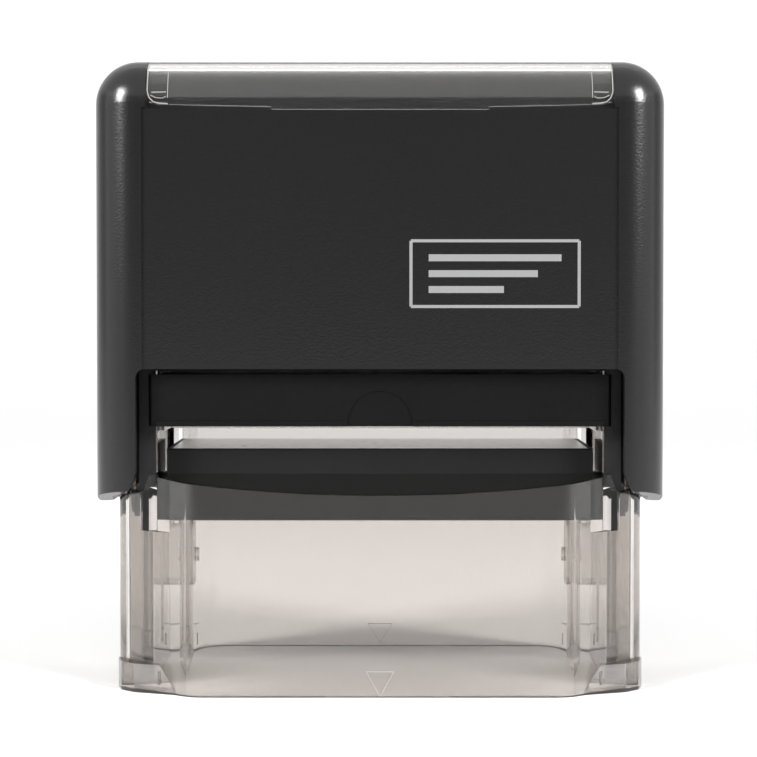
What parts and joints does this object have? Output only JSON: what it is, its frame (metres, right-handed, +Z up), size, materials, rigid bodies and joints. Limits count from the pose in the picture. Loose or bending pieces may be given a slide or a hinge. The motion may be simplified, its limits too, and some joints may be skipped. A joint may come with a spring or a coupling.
{
  "type": "self inking stamp",
  "caption": "Self inking office stamp: spring-loaded hood on a clear base, text plate block that flips over on the way down, drawer ink pad, window cap.",
  "frame": {"origin": "middle of the bottom rim, on the table", "axes": "+Z up along the press direction, -Y to the front, +X along the text line to the right seen from the front"},
  "size_m": [0.0782, 0.048, 0.086],
  "materials": {
    "hood_plastic": "fine spark-eroded texture, black",
    "frame_plastic": "plain moulded black",
    "bush_plastic": "natural acetal",
    "window_plastic": "clear, polished",
    "button_plastic": "black, fine texture",
    "base_plastic": "clear with a warm grey tint, polished",
    "tray_plastic": "black, satin",
    "pad_foam": "microporous felt soaked in black ink",
    "block_plastic": "black, satin",
    "plate_foam": "beige adhesive foam, matt",
    "steel": "ground steel",
    "spring_steel": "drawn spring wire"
  },
  "bodies": {
    "base": {"base_frame": "base_plastic", "pad_bridge": "frame_plastic", "spring_guide_left": "steel", "spring_guide_right": "steel", "return_spring_left": "spring_steel", "return_spring_right": "spring_steel"},
    "hood": {"hood_shell": "hood_plastic", "actuator_bow": "frame_plastic", "axle_bush_left": "bush_plastic", "axle_bush_right": "bush_plastic", "spring_cap_left": "frame_plastic", "spring_cap_right": "frame_plastic"},
    "die": {"die_block": "block_plastic", "die_end_left": "block_plastic", "die_end_right": "block_plastic", "plate_foam": "plate_foam", "die_axle": "steel"},
    "pad": {"ink_pad_tray": "tray_plastic", "ink_pad": "pad_foam"},
    "window": {"window_cap": "window_plastic"},
    "lock": {"lock_button": "button_plastic"}
  },
  "joints": [
    {"name": "press_slide", "type": "slide", "parent": "base", "child": "hood", "axis": [0, 0, -1], "range_m": [0, 0.0216], "stiffness_N_per_m": 600, "springref_m": -0.01, "deforming": ["return_spring_left", "return_spring_right"]},
    {"name": "die_flip", "type": "hinge", "parent": "hood", "child": "die", "pos_m": [0, 0, 0.0272], "axis": [1, 0, 0], "range_deg": [0, 180]},
    {"name": "pad_slide", "type": "slide", "parent": "base", "child": "pad", "axis": [0, -1, 0], "range_m": [0, 0.04]},
    {"name": "window_lift", "type": "slide", "parent": "hood", "child": "window", "axis": [0, 0, 1], "range_m": [0, 0.02]},
    {"name": "lock_press", "type": "slide", "parent": "hood", "child": "lock", "axis": [0, -1, 0], "range_m": [0, 0.0015], "stiffness_N_per_m": 800, "springref_m": -0.0006}
  ],
  "couplings": [
    {"joint": "die_flip", "follows": "press_slide", "rad_per_m": 145.4}
  ]
}
